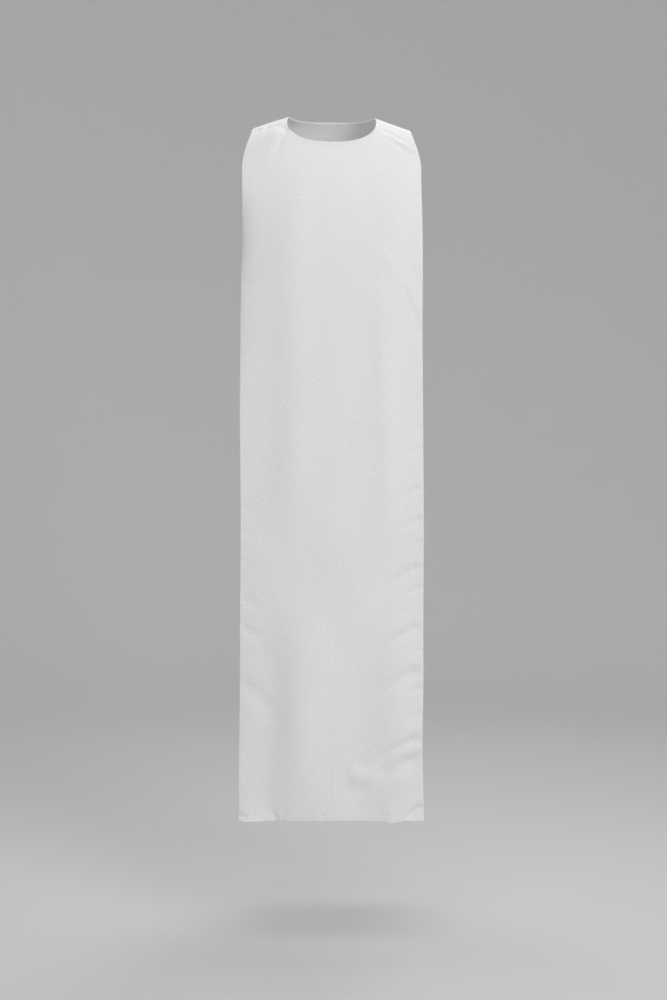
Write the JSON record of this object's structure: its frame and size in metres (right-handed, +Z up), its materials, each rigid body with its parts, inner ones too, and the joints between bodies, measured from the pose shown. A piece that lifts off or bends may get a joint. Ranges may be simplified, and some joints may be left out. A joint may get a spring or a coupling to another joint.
{
  "type": "monastic scapular",
  "caption": "Long white scapular with open sides and a round neck hole, hanging hollow from the shoulders down the front and the back.",
  "frame": {"origin": "middle of the neck hole, level with the shoulders where they meet the neck, which is where the wearer holds the scapular up", "axes": "+Z up along the length of the scapular, -Y out of its front, +X to the wearer's left"},
  "size_m": [0.3264, 0.3096, 1.2801],
  "materials": {
    "scapular_cloth": "matte white woven polyester with a fine crepe grain"
  },
  "bodies": {
    "root": {"front_panel": "scapular_cloth", "back_panel": "scapular_cloth"}
  },
  "joints": []
}
